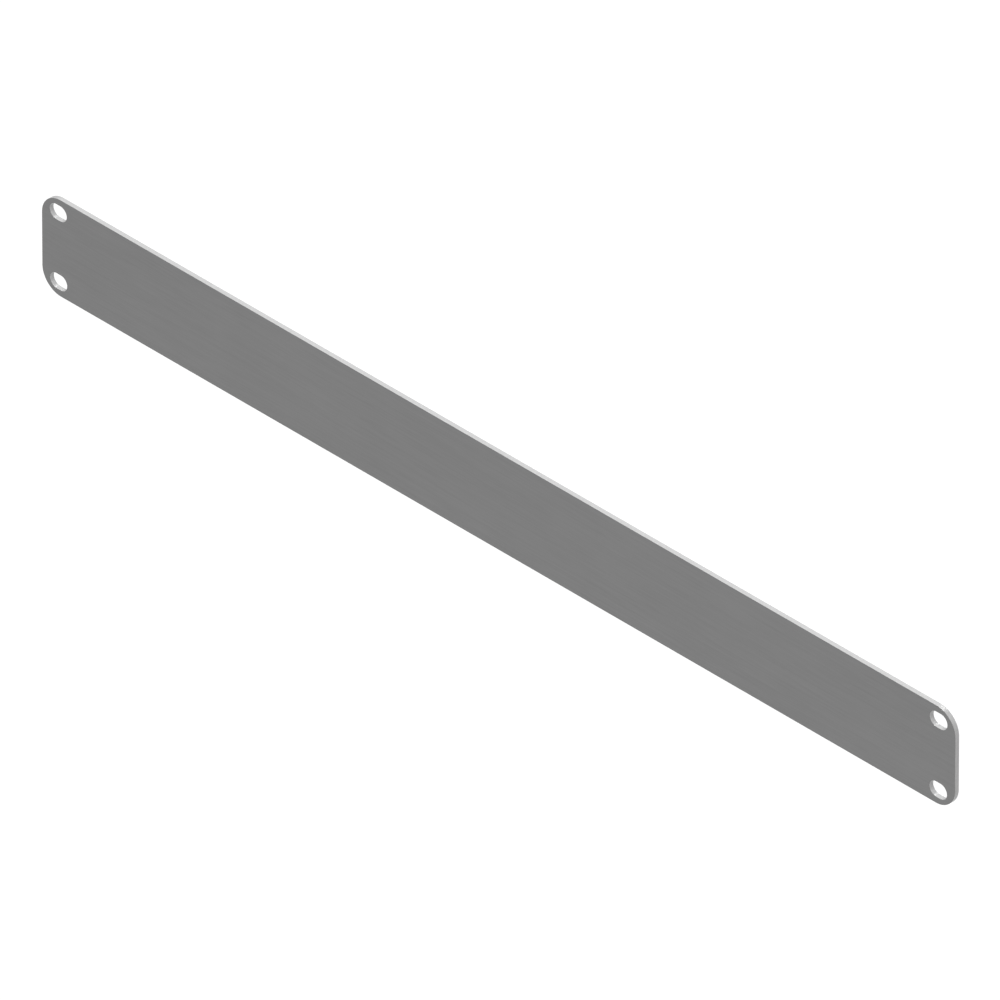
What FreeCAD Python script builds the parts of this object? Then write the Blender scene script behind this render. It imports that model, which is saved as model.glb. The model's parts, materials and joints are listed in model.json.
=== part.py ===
"""Rack blanking panel: a flat sheet that closes free units of a 19-inch rack.

Millimetres, +Z up. The front faces -Y and the back lies on the rack rails at Y = 0.
The origin is the centre of the slot pattern, on the back.
"""
import FreeCAD
import Part
import math
import os
import Sketcher

PANEL = "blanking_panel"

# alias, value (mm, apart from unit_count), what it sets
SIZES = [
    ("panel_width", 482.6, "end to end, the 19 inches of the rack standard"),
    ("unit_count", 1, "rack units that the panel closes"),
    ("unit_height", 44.45, "height of one rack unit"),
    ("unit_gap", 0.15, "height left free for the neighbouring panels, in all"),
    ("thickness", 2.0, "of the sheet"),
    ("corner_radius", 10.0, "of the four outer corners"),
    ("slot_end_inset", 8.75, "from a panel end to a slot centre, along X"),
    ("slot_unit_inset", 6.35, "from a rack unit boundary to a slot centre, along Z"),
    ("slot_width", 6.9, "across a slot, clears an M6 screw"),
    ("slot_length", 9.1, "from one round end of a slot to the other"),
    ("edge_break", 0.2, "chamfer that deburrs every front and back edge"),
]

PANEL_HEIGHT = "sizes.unit_count * sizes.unit_height - sizes.unit_gap"
SLOT_X = "sizes.panel_width / 2 - sizes.slot_end_inset"
SLOT_Z = "sizes.unit_count * sizes.unit_height / 2 - sizes.slot_unit_inset"
SLOT_RADIUS = "sizes.slot_width / 2"
SLOT_STRAIGHT = "sizes.slot_length - sizes.slot_width"

START, END, CENTRE = 1, 2, 3  # points of a sketch line or arc
ORIGIN = (-1, 1)  # the sketch's own origin: geometry number, point
QUARTER = math.pi / 2
SAME_PLACE = 1e-6  # faces closer than this to a plane lie in it


def makeSizes(doc):
    """Puts the driving dimensions in a spreadsheet, one named cell each."""
    sheet = doc.addObject("Spreadsheet::Sheet", "sizes")
    for row, (alias, value, note) in enumerate(SIZES, start=1):
        sheet.set(f"A{row}", alias)
        sheet.set(f"B{row}", str(value))
        sheet.set(f"C{row}", note)
        sheet.setAlias(f"B{row}", alias)
    doc.recompute()
    return sheet


def originPlane(body, role):
    return next(f for f in body.Origin.OriginFeatures if f.Role == role)


def newSketch(body, name):
    """Starts a sketch on the rail plane: its axes are +X and +Z, its normal is -Y."""
    sketch = body.newObject("Sketcher::SketchObject", name)
    sketch.AttachmentSupport = [(originPlane(body, "XZ_Plane"), "")]
    sketch.MapMode = "FlatFace"
    return sketch


def read(owner, expression):
    """Works out an expression on the spreadsheet's sizes."""
    return float(owner.evalExpression(expression))


def line(x1, z1, x2, z2):
    return Part.LineSegment(FreeCAD.Vector(x1, z1, 0), FreeCAD.Vector(x2, z2, 0))


def arc(x, z, radius, turn, quarters):
    """An anticlockwise arc that starts `turn` quarters round from +X."""
    circle = Part.Circle(FreeCAD.Vector(x, z, 0), FreeCAD.Vector(0, 0, 1), radius)
    return Part.ArcOfCircle(circle, turn * QUARTER, (turn + quarters) * QUARTER)


def addLoop(sketch, pieces):
    """Adds lines and arcs as a closed loop, each tangent to the next."""
    numbers = [sketch.addGeometry(piece, False) for piece in pieces]
    for here, following in zip(numbers, numbers[1:] + numbers[:1]):
        sketch.addConstraint(Sketcher.Constraint("Tangent", here, END, following, START))
    return numbers


def bind(sketch, name, expression, kind, *where):
    """Adds a dimension and ties it to the spreadsheet."""
    number = sketch.addConstraint(Sketcher.Constraint(kind, *where, read(sketch, expression)))
    sketch.renameConstraint(number, name)
    sketch.setExpression(f"Constraints.{name}", expression)


def drawOutline(sketch, sheet):
    """The panel's outline: a rectangle with four equal round corners."""
    radius = sheet.corner_radius
    right, top = sheet.panel_width / 2, read(sketch, PANEL_HEIGHT) / 2
    x, z = right - radius, top - radius
    loop = addLoop(sketch, [
        line(-x, -top, x, -top), arc(x, -z, radius, 3, 1),
        line(right, -z, right, z), arc(x, z, radius, 0, 1),
        line(x, top, -x, top), arc(-x, z, radius, 1, 1),
        line(-right, z, -right, -z), arc(-x, -z, radius, 2, 1),
    ])
    bottomLine, cornerA, rightLine, cornerB, topLine, cornerC, leftLine, cornerD = loop
    for flat in (bottomLine, topLine):
        sketch.addConstraint(Sketcher.Constraint("Horizontal", flat))
    for upright in (rightLine, leftLine):
        sketch.addConstraint(Sketcher.Constraint("Vertical", upright))
    for corner in (cornerB, cornerC, cornerD):
        sketch.addConstraint(Sketcher.Constraint("Equal", cornerA, corner))
    sketch.addConstraint(Sketcher.Constraint("Symmetric", cornerB, CENTRE, cornerD, CENTRE, *ORIGIN))
    bind(sketch, "corner", "sizes.corner_radius", "Radius", cornerA)
    bind(sketch, "width", "sizes.panel_width", "DistanceX", leftLine, START, rightLine, START)
    bind(sketch, "height", PANEL_HEIGHT, "DistanceY", bottomLine, START, topLine, START)


def drawSlot(sketch):
    """The upper right slot, level, with round ends."""
    x, z = read(sketch, SLOT_X), read(sketch, SLOT_Z)
    radius = read(sketch, SLOT_RADIUS)
    reach = read(sketch, SLOT_STRAIGHT) / 2
    rightEnd, topLine, leftEnd, bottomLine = addLoop(sketch, [
        arc(x + reach, z, radius, 3, 2), line(x + reach, z + radius, x - reach, z + radius),
        arc(x - reach, z, radius, 1, 2), line(x - reach, z - radius, x + reach, z - radius),
    ])
    middle = sketch.addGeometry(Part.Point(FreeCAD.Vector(x, z, 0)), True)
    sketch.addConstraint(Sketcher.Constraint("Horizontal", topLine))
    sketch.addConstraint(Sketcher.Constraint("Equal", rightEnd, leftEnd))
    sketch.addConstraint(Sketcher.Constraint("Symmetric", leftEnd, CENTRE, rightEnd, CENTRE, middle, START))
    bind(sketch, "end", SLOT_RADIUS, "Radius", rightEnd)
    bind(sketch, "straight", SLOT_STRAIGHT, "DistanceX", leftEnd, CENTRE, rightEnd, CENTRE)
    bind(sketch, "across", SLOT_X, "DistanceX", *ORIGIN, middle, START)
    bind(sketch, "up", SLOT_Z, "DistanceY", *ORIGIN, middle, START)


def padSheet(body, sheet):
    """The blank: the outline, as thick as the sheet, from the rails forward."""
    outline = newSketch(body, "outline")
    drawOutline(outline, sheet)
    blank = body.newObject("PartDesign::Pad", "blank")
    blank.Profile = outline
    blank.setExpression("Length", "sizes.thickness")
    return blank


def cutSlots(body):
    """One slot through the sheet, then mirrored to all four corners."""
    profile = newSketch(body, "slotProfile")
    drawSlot(profile)
    slot = body.newObject("PartDesign::Pocket", "slot")
    slot.Profile = profile
    slot.Type = "ThroughAll"
    slot.Midplane = True  # cuts both ways from the rail plane, so through the sheet
    pattern = body.newObject("PartDesign::MultiTransform", "slotPattern")
    pattern.Originals = [slot]
    mirrors = []
    for name, role in (("slotsLeft", "YZ_Plane"), ("slotsBelow", "XY_Plane")):
        mirror = body.Document.addObject("PartDesign::Mirrored", name)
        mirror.MirrorPlane = (originPlane(body, role), [""])
        mirrors.append(mirror)
    pattern.Transformations = mirrors
    body.Tip = pattern
    return slot, pattern


def breakEdges(body, pattern, sheet):
    """Takes the burr off every edge of the front and the back."""
    levels = (0, -sheet.thickness)
    faces = []
    for number, face in enumerate(pattern.Shape.Faces, start=1):
        if any(abs(face.CenterOfMass.y - level) < SAME_PLACE for level in levels):
            faces.append(f"Face{number}")
    deburring = body.newObject("PartDesign::Chamfer", "deburring")
    deburring.Base = (pattern, faces)
    deburring.setExpression("Size", "sizes.edge_break")
    return deburring


def makePanel(doc, sheet):
    body = doc.addObject("PartDesign::Body", PANEL)
    body.Label = PANEL
    blank = padSheet(body, sheet)
    slot, pattern = cutSlots(body)
    doc.recompute()
    deburring = breakEdges(body, pattern, sheet)
    doc.recompute()
    steps = [blank, slot, pattern, deburring]
    for before, after in zip(steps, steps[1:]):
        if after.Shape.Volume >= before.Shape.Volume:
            raise RuntimeError(f"{after.Label} took nothing off the sheet")
    return body


def checkDocument(doc, bodies):
    """Stops before anything is written if a step failed or a shape is unsound."""
    for item in doc.Objects:
        if "Invalid" in item.State or "Error" in item.State:
            raise RuntimeError(f"{item.Label} failed: {item.State}")
    for body in bodies:
        if body.Shape.isNull() or not body.Shape.isValid():
            raise RuntimeError(f"{body.Label} has no valid shape")
        if len(body.Shape.Solids) != 1:
            raise RuntimeError(f"{body.Label} is not one solid")


def main():
    doc = FreeCAD.newDocument("BlankingPanel")
    sheet = makeSizes(doc)
    bodies = [makePanel(doc, sheet)]
    checkDocument(doc, bodies)
    os.makedirs("parts", exist_ok=True)
    for body in bodies:
        body.Shape.exportStep(f"parts/{body.Label}.step")
        box = body.Shape.BoundBox
        print(body.Label, f"{box.XLength:.2f} x {box.YLength:.2f} x {box.ZLength:.2f} mm,",
              f"{body.Shape.Volume:.1f} mm3")


main()
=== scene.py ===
# Rack blanking panel: one flat sheet, grey anodised on its faces and bare where it was cut.
import bpy
import bmesh
import json
import math
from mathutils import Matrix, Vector


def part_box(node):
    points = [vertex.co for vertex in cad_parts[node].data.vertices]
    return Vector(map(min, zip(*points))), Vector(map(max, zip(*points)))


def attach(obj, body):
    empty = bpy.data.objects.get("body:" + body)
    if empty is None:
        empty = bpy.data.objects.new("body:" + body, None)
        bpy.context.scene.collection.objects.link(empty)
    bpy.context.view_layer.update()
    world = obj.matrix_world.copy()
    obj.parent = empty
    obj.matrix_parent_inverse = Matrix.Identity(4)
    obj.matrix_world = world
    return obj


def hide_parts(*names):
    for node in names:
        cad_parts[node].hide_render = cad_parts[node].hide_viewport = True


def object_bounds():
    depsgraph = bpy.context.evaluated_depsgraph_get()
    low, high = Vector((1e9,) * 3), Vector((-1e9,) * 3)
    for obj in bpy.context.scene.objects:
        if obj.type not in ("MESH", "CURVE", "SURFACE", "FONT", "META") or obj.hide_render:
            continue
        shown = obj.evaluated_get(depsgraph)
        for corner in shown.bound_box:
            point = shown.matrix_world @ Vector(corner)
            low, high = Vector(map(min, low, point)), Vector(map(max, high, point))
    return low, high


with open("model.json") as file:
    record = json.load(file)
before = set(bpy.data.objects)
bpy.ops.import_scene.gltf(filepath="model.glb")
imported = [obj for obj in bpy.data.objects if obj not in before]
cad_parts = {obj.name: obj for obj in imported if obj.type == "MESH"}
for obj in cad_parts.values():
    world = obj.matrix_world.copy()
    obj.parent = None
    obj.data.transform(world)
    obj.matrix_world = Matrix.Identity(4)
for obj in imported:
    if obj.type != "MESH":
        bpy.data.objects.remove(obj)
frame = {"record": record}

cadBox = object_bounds()
mm = 0.001


def grey(level):
    return (level, level, level, 1)


def clearSelection():
    if bpy.context.object and bpy.context.object.mode != "OBJECT":
        bpy.ops.object.mode_set(mode="OBJECT")
    bpy.ops.object.select_all(action="DESELECT")


def pick(thing):
    clearSelection()
    thing.select_set(True)
    bpy.context.view_layer.objects.active = thing


def applyModifier(thing, kind, **settings):
    pick(thing)
    modifier = thing.modifiers.new(kind.lower(), kind)
    for name, value in settings.items():
        setattr(modifier, name, value)
    bpy.ops.object.modifier_apply(modifier=modifier.name)


panel = {
    "node": "blanking_panel",
    "mount": "rack_slots",
    "cornerRadius": 10 * mm,
    "cornerSegments": 32,
    "slotSegments": 16,  # in each quarter of a slot's round ends
    "cutterReach": 3,  # how long the slot cutter is, in sheet thicknesses
    "mergeDistance": 0.001 * mm,
    "edgeRadius": 0.2 * mm,
    "edgeSegments": 3,
    "smoothAngle": math.radians(40),
    "flatWeight": 100,  # how far the large flat faces set the shading at their own edges
    "finishLimit": 0.5,  # the anodising stops where the rounding's normal has this much Y left
}


def runsThrough(edge):  # true for an edge straight through the sheet, from front to back
    first, last = (corner.co for corner in edge.verts)
    return abs(last.y - first.y) > max(abs(last.x - first.x), abs(last.z - first.z))


def makePlate(name, centre, size, radius, segments):
    # a block with its four edges from front to back rounded
    clearSelection()
    bpy.ops.mesh.primitive_cube_add(size=1, location=centre, scale=size)
    plate = bpy.context.object
    plate.name = name
    plate.data.name = name
    bpy.ops.object.transform_apply(location=True, rotation=True, scale=True)
    bpy.ops.object.mode_set(mode="EDIT")
    bpy.ops.mesh.select_mode(type="EDGE")
    bpy.ops.mesh.select_all(action="DESELECT")
    mesh = bmesh.from_edit_mesh(plate.data)
    for edge in mesh.edges:
        edge.select_set(runsThrough(edge))
    bmesh.update_edit_mesh(plate.data)
    bpy.ops.mesh.bevel(offset=radius, segments=segments, affect="EDGES")
    bpy.ops.mesh.select_all(action="SELECT")
    bpy.ops.mesh.remove_doubles(threshold=panel["mergeDistance"])  # where two rounds meet
    bpy.ops.object.mode_set(mode="OBJECT")
    return plate


def cutSlots(sheet, thickness):
    # one cutter goes to the four corners of the rack's bolt pattern in turn
    mount = next(each for each in frame["record"]["mounts"] if each["name"] == panel["mount"])
    pattern = mount["dims"]
    radius = pattern["hole_r_mm"] * mm
    size = (pattern["slot_length_mm"] * mm, thickness * panel["cutterReach"], 2 * radius)
    cutter = makePlate("slotCutter", mount["pos_m"], size, radius, panel["slotSegments"])
    for acrossHalf in (-0.5, 0.5):
        for upHalf in (-0.5, 0.5):
            cutter.location.x = acrossHalf * pattern["spacing_x_mm"] * mm
            cutter.location.z = upHalf * pattern["spacing_y_mm"] * mm
            bpy.context.view_layer.update()  # so that the cutter's new place counts
            applyModifier(sheet, "BOOLEAN", operation="DIFFERENCE", solver="EXACT", object=cutter)
    bpy.data.objects.remove(cutter)


def roundEdges(sheet):
    applyModifier(sheet, "BEVEL", width=panel["edgeRadius"], segments=panel["edgeSegments"],
                  limit_method="ANGLE", angle_limit=panel["smoothAngle"])
    pick(sheet)
    bpy.ops.object.shade_smooth_by_angle(angle=panel["smoothAngle"])
    applyModifier(sheet, "WEIGHTED_NORMAL", keep_sharp=True, weight=panel["flatWeight"])


def makePanel():
    low, high = (Vector(corner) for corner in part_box(panel["node"]))
    size = high - low
    sheet = makePlate("blankingPanel", (low + high) / 2, size, panel["cornerRadius"],
                      panel["cornerSegments"])
    print("sheet made with round corners")
    cutSlots(sheet, size.y)
    print("slots cut")
    roundEdges(sheet)
    print("edges rounded,", len(sheet.data.polygons), "faces")
    return sheet


greyFinish = {
    "metallic": 1,
    "specular": 0.5,
    "dark": 0.19,  # the streaks run from this grey to the light one
    "light": 0.232,
    "roughness": (0.43, 0.57),
    "lines": (50, 2200, 2200),  # per metre of X, Y and Z: a grain along the sheet
    "clouds": (25, 40, 40),  # slow changes in the anodising
    "cloudShare": 0.3,
    "depth": 0.006 * mm,  # of the grain
}

bareEdge = {
    "metallic": 0.2,  # low, because a cut face is so matt that it shades almost like paint
    "specular": 0.1,
    "dark": 0.51,
    "light": 0.58,
    "roughness": (0.28, 0.4),
    "lines": (5200, 260, 5200),  # cutting marks straight through the sheet
    "clouds": (60, 60, 60),
    "cloudShare": 0.2,
    "depth": 0.005 * mm,
}

noise = {
    "detail": 3,
    "roughness": 0.55,
    "low": 0.35,  # it seldom leaves the span from low to high
    "high": 0.65,
}


def addNode(tree, kind, **settings):
    made = tree.nodes.new(kind)
    for name, value in settings.items():
        setattr(made, name, value)
    return made


def makeStreaks():
    # a pattern that each material stretches its own way, from fine lines to slow clouds
    tree = bpy.data.node_groups.new("streaks", "ShaderNodeTree")
    tree.interface.new_socket("Place", in_out="INPUT", socket_type="NodeSocketVector")
    tree.interface.new_socket("Per Metre", in_out="INPUT", socket_type="NodeSocketVector")
    tree.interface.new_socket("Mask", in_out="OUTPUT", socket_type="NodeSocketFloat")
    start = addNode(tree, "NodeGroupInput")
    end = addNode(tree, "NodeGroupOutput")
    stretch = addNode(tree, "ShaderNodeVectorMath", operation="MULTIPLY")
    texture = addNode(tree, "ShaderNodeTexNoise")
    texture.inputs["Scale"].default_value = 1
    texture.inputs["Detail"].default_value = noise["detail"]
    texture.inputs["Roughness"].default_value = noise["roughness"]
    tree.links.new(start.outputs["Place"], stretch.inputs[0])
    tree.links.new(start.outputs["Per Metre"], stretch.inputs[1])
    tree.links.new(stretch.outputs["Vector"], texture.inputs["Vector"])
    tree.links.new(texture.outputs["Fac"], end.inputs["Mask"])
    return tree


def addStreaks(tree, streaks, perMetre):
    place = addNode(tree, "ShaderNodeTexCoord")
    group = addNode(tree, "ShaderNodeGroup", node_tree=streaks)
    group.inputs["Per Metre"].default_value = perMetre
    tree.links.new(place.outputs["Object"], group.inputs["Place"])
    return group.outputs["Mask"]


def addMix(tree, kind, factor, first, last):
    # mixes two sockets or two fixed colours
    mix = addNode(tree, "ShaderNodeMix", data_type=kind)
    for name, value in (("Factor", factor), ("A", first), ("B", last)):
        if isinstance(value, bpy.types.NodeSocket):
            tree.links.new(value, mix.inputs[name])
        else:
            mix.inputs[name].default_value = value
    return mix.outputs["Result"]


def addSpan(tree, mask, low, high):
    # spreads the noise's own span over low to high
    span = addNode(tree, "ShaderNodeMapRange")
    span.inputs["From Min"].default_value = noise["low"]
    span.inputs["From Max"].default_value = noise["high"]
    span.inputs["To Min"].default_value = low
    span.inputs["To Max"].default_value = high
    tree.links.new(mask, span.inputs["Value"])
    return span.outputs["Result"]


def makeFinish(name, finish, streaks):
    material = bpy.data.materials.new(name)
    material.use_nodes = True
    tree = material.node_tree
    shader = tree.nodes["Principled BSDF"]
    shader.inputs["Metallic"].default_value = finish["metallic"]
    shader.inputs["Specular IOR Level"].default_value = finish["specular"]
    lines = addStreaks(tree, streaks, finish["lines"])
    clouds = addStreaks(tree, streaks, finish["clouds"])
    mask = addMix(tree, "FLOAT", finish["cloudShare"], lines, clouds)
    share = addSpan(tree, mask, 0, 1)
    colour = addMix(tree, "RGBA", share, grey(finish["dark"]), grey(finish["light"]))
    tree.links.new(colour, shader.inputs["Base Color"])
    tree.links.new(addSpan(tree, mask, *finish["roughness"]), shader.inputs["Roughness"])
    bump = addNode(tree, "ShaderNodeBump")
    bump.inputs["Distance"].default_value = finish["depth"]
    tree.links.new(lines, bump.inputs["Height"])
    tree.links.new(bump.outputs["Normal"], shader.inputs["Normal"])
    return material


def dressPanel(sheet):
    streaks = makeStreaks()
    sheet.data.materials.clear()
    sheet.data.materials.append(makeFinish("greyAnodised", greyFinish, streaks))
    sheet.data.materials.append(makeFinish("bareCutEdge", bareEdge, streaks))
    for face in sheet.data.polygons:
        face.material_index = 0 if abs(face.normal.y) > panel["finishLimit"] else 1
    print("finishes on")


studio = {  # metres and watts, and millimetres for the lens
    "floorDrop": 0.6,  # the panel is seen at its height in a rack, clear of the floor
    "floorSize": 60,
    "floorShade": 0.6,
    "floorLift": 0.5,  # the floor's own light where the camera or a reflection sees it
    "ambient": 0.27,
    "lamps": {  # place, width, power: far off, so that they light the panel evenly end to end
        "overheadLamp": ((2.5, -4.8, 9.2), 8, 770),
        "backLamp": ((-4.5, 6.2, 7.6), 8, 245),
        "glintLamp": ((-1.7, 6.2, 8.7), 2.5, 130),
        "sideLamp": ((6.4, 6.2, 6), 6, 28),
    },
    "lens": 1700,  # so long that parallel edges stay parallel
    "distance": 17.648,  # leaves a narrow margin past both ends of the panel
    "azimuth": math.radians(45),
    "elevation": math.atan(math.sqrt(0.5)),  # with this azimuth, all three axes look equally long
    "aim": (0.0016, -0.001, 0),  # a little off the middle, for both ends to lie right in the view
}


def addWhiteSight(tree):
    # 1 for what the camera sees directly, in a reflection or through glass, and 0 for light on things
    path = addNode(tree, "ShaderNodeLightPath")
    sight = path.outputs["Is Camera Ray"]
    for ray in ("Is Glossy Ray", "Is Transmission Ray"):
        either = addNode(tree, "ShaderNodeMath", operation="MAXIMUM")
        tree.links.new(sight, either.inputs[0])
        tree.links.new(path.outputs[ray], either.inputs[1])
        sight = either.outputs["Value"]
    return sight


def makeFloor():
    clearSelection()
    height = cadBox[0][2] - studio["floorDrop"]
    bpy.ops.mesh.primitive_plane_add(size=studio["floorSize"], location=(0, 0, height))
    floor = bpy.context.object
    floor.name = "floor"
    material = bpy.data.materials.new("paleFloor")
    material.use_nodes = True
    tree = material.node_tree
    shader = tree.nodes["Principled BSDF"]
    shader.inputs["Base Color"].default_value = grey(studio["floorShade"])
    shader.inputs["Roughness"].default_value = 1
    shader.inputs["Specular IOR Level"].default_value = 0  # matt, without any shine
    shader.inputs["Emission Color"].default_value = grey(1)
    lift = addNode(tree, "ShaderNodeMath", operation="MULTIPLY")
    lift.inputs[1].default_value = studio["floorLift"]
    tree.links.new(addWhiteSight(tree), lift.inputs[0])
    tree.links.new(lift.outputs["Value"], shader.inputs["Emission Strength"])
    floor.data.materials.append(material)


def makeWorld():
    world = bpy.data.worlds.new("studioWorld")
    world.use_nodes = True
    bpy.context.scene.world = world
    tree = world.node_tree
    background = tree.nodes["Background"]
    background.inputs["Color"].default_value = grey(1)
    strength = addNode(tree, "ShaderNodeMapRange")
    strength.inputs["To Min"].default_value = studio["ambient"]
    strength.inputs["To Max"].default_value = 1  # plain white where it is seen
    tree.links.new(addWhiteSight(tree), strength.inputs["Value"])
    tree.links.new(strength.outputs["Result"], background.inputs["Strength"])


def makeLamps():
    for name, (place, width, power) in studio["lamps"].items():
        clearSelection()
        bpy.ops.object.light_add(type="AREA", location=place)
        lamp = bpy.context.object
        lamp.name = name
        lamp.data.size = width
        lamp.data.energy = power
        lamp.visible_camera = False
        lamp.rotation_euler = Vector(place).to_track_quat("Z", "Y").to_euler()  # shines at the panel


def makeCamera():
    level = math.cos(studio["elevation"])
    towards = Vector((math.sin(studio["azimuth"]) * level, -math.cos(studio["azimuth"]) * level,
                      math.sin(studio["elevation"])))
    clearSelection()
    bpy.ops.object.camera_add(location=Vector(studio["aim"]) + towards * studio["distance"])
    camera = bpy.context.object
    camera.name = "camera"
    camera.rotation_euler = towards.to_track_quat("Z", "Y").to_euler()
    camera.data.lens = studio["lens"]
    bpy.context.scene.camera = camera


blankingPanel = makePanel()
dressPanel(blankingPanel)
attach(blankingPanel, "root")
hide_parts(panel["node"])

makeFloor()
makeWorld()
makeLamps()
makeCamera()
bpy.context.scene.view_settings.view_transform = "Standard"
print("studio ready")
